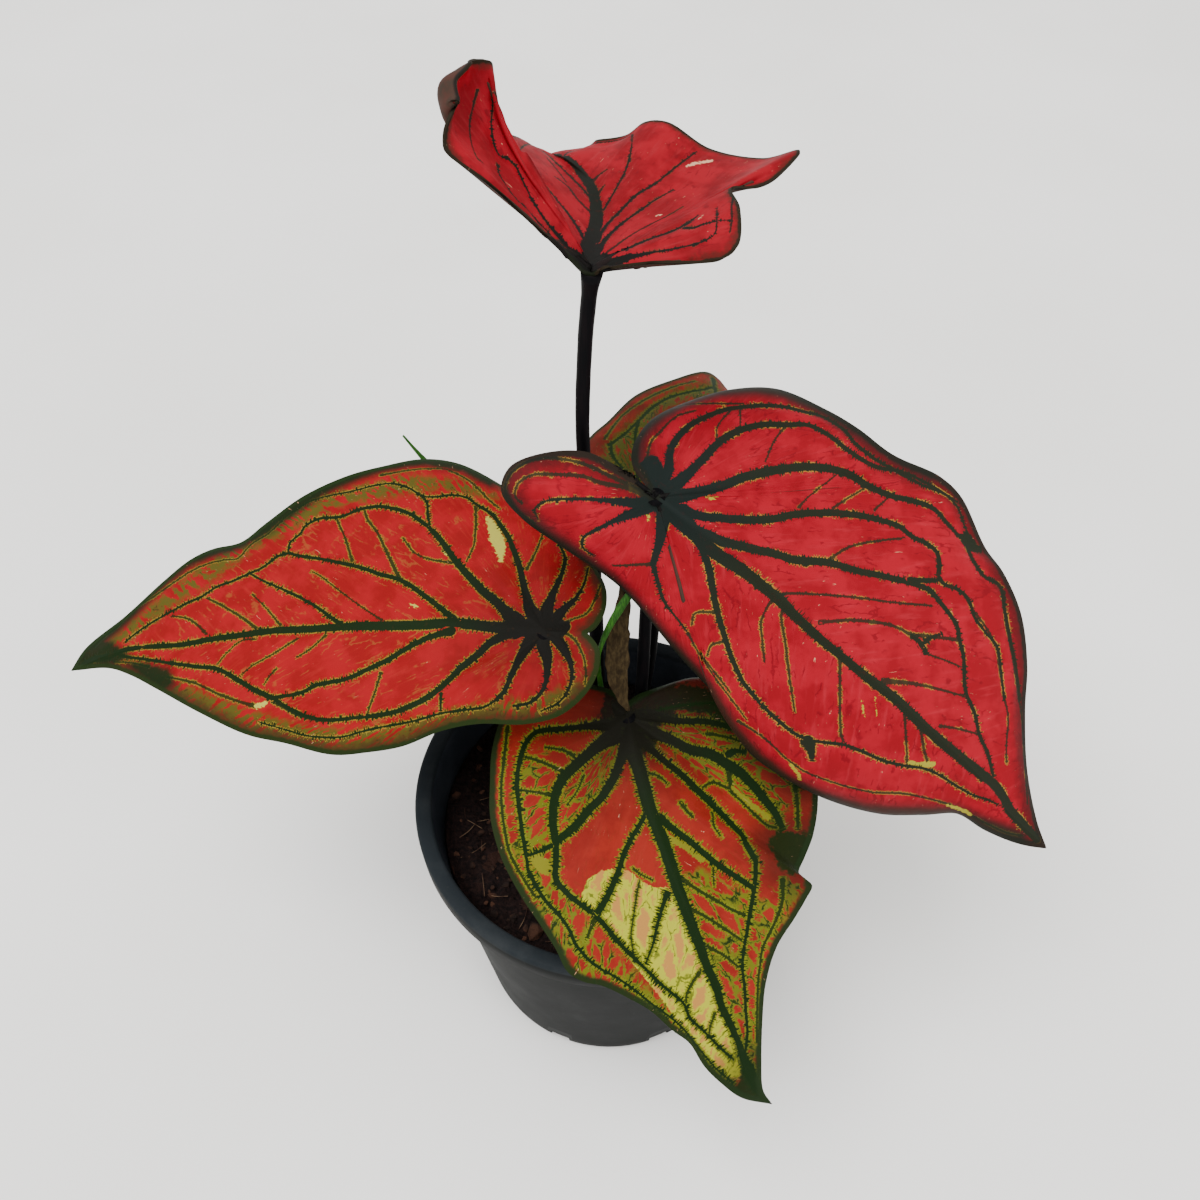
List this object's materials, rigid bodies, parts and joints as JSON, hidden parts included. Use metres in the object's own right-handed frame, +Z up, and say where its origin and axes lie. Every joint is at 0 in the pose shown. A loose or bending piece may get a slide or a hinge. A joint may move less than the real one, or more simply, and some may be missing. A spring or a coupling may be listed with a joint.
{
  "type": "potted caladium",
  "caption": "Caladium with red and green veined heart-shaped leaves on dark stalks, in a round black plastic nursery pot with soil.",
  "frame": {"origin": "middle of the flat underside of the pot, where it stands", "axes": "+Z up; +Y to the back of the plant, away from the front leaf; +X to the right leaf's side"},
  "size_m": [0.3506, 0.2891, 0.3745],
  "materials": {
    "pot_plastic": "satin",
    "potting_mix": "matte",
    "tuber_skin": "matte",
    "leaf_stalk": "satin",
    "leaf_blade": "satin",
    "dry_leaf": "matte",
    "grass": "satin"
  },
  "bodies": {
    "root": {"pot": "pot_plastic", "soil": "potting_mix", "tuber": "tuber_skin", "petiole_right": "leaf_stalk", "blade_right": "leaf_blade", "petiole_left": "leaf_stalk", "blade_left": "leaf_blade", "petiole_front": "leaf_stalk", "blade_front": "leaf_blade", "petiole_top": "leaf_stalk", "blade_top": "leaf_blade", "petiole_back": "leaf_stalk", "blade_back": "leaf_blade", "withered_leaf": "dry_leaf", "grass_blade_near": "grass", "grass_blade_far": "grass"}
  },
  "joints": []
}
